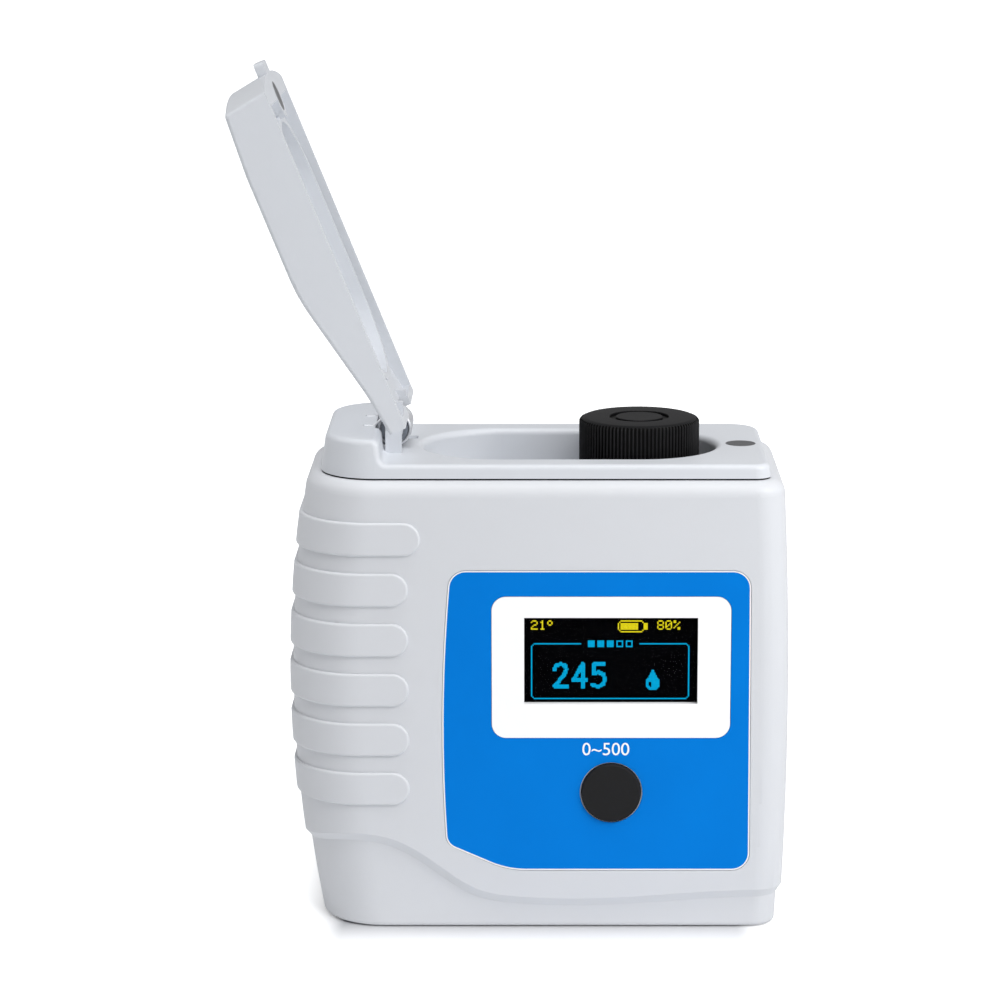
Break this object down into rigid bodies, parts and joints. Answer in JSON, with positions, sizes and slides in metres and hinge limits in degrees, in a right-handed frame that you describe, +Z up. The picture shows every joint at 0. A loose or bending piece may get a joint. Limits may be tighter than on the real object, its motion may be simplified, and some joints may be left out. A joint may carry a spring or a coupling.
{
  "type": "water color meter",
  "caption": "Handheld water color meter with grip ribs, a blue front label with small display and power button, a sprung flip-up lid and a capped glass sample vial in its finger well",
  "frame": {"origin": "middle of the base, at table height", "axes": "+X to the right seen from the front, +Y to the rear, +Z up; the front with the display faces -Y"},
  "size_m": [0.1127, 0.0523, 0.1744],
  "materials": {
    "housing": "satin",
    "deck": "satin",
    "gasket": "matte",
    "magnet": "satin",
    "steel": "satin",
    "glass": "clear",
    "clear_resin": "clear",
    "black_plastic": "satin",
    "liner": "matte",
    "board": "satin",
    "display": "glossy",
    "window": "glossy",
    "label": "satin",
    "button": "matte",
    "cell": "satin"
  },
  "bodies": {
    "base": {"body_shell": "housing", "rear_cover": "housing", "top_cover": "deck", "top_gasket": "gasket", "deck_magnet": "magnet", "hinge_pin": "steel", "spring_bush": "black_plastic", "torsion_spring": "steel", "chamber_front": "black_plastic", "chamber_rear": "black_plastic", "lamp_window": "glass", "sensor_window": "glass", "lamp": "clear_resin", "sensor": "clear_resin", "lamp_board": "board", "sensor_board": "board", "main_board": "board", "display_module": "display", "display_frame": "black_plastic", "window_panel": "window", "front_label": "label", "button_switch": "black_plastic", "button_boot": "gasket", "cell_upper": "cell", "cell_lower": "cell", "contact_bridge": "steel", "contact_positive": "steel", "contact_negative": "steel", "rear_screw_top_left": "steel", "rear_screw_top_right": "steel", "rear_screw_bottom_left": "steel", "rear_screw_bottom_right": "steel", "board_screw_1": "steel", "board_screw_2": "steel", "board_screw_3": "steel", "board_screw_4": "steel", "chamber_screw_1": "steel", "chamber_screw_2": "steel"},
    "flip_lid": {"lid": "deck", "lid_magnet": "magnet"},
    "vial": {"sample_vial": "glass"},
    "liner": {"cap_liner": "liner"},
    "cap": {"vial_cap": "black_plastic"},
    "button": {"power_button": "button"},
    "door": {"battery_door": "housing", "door_seal": "gasket", "door_screw": "steel"}
  },
  "joints": [
    {"name": "lid_hinge", "type": "hinge", "parent": "base", "child": "flip_lid", "pos_m": [-0.0296, 0, 0.1], "axis": [0, 1, 0], "range_deg": [0, 112]},
    {"name": "vial_lift", "type": "slide", "parent": "base", "child": "vial", "axis": [0, 0, 1], "range_m": [0, 0.08]},
    {"name": "cap_rise", "type": "slide", "parent": "vial", "child": "liner", "axis": [0, 0, 1], "range_m": [0, 0.0036]},
    {"name": "cap_turn", "type": "hinge", "parent": "liner", "child": "cap", "pos_m": [0.0205, 0, 0.095], "axis": [0, 0, 1], "range_deg": [0, 400]},
    {"name": "button_press", "type": "slide", "parent": "base", "child": "button", "axis": [0, 1, 0], "range_m": [0, 0.0008], "stiffness_N_per_m": 800},
    {"name": "door_off", "type": "slide", "parent": "base", "child": "door", "axis": [0, 1, 0], "range_m": [0, 0.03]}
  ],
  "couplings": [
    {"joint": "cap_rise", "follows": "cap_turn", "m_per_rad": 0.000505}
  ]
}
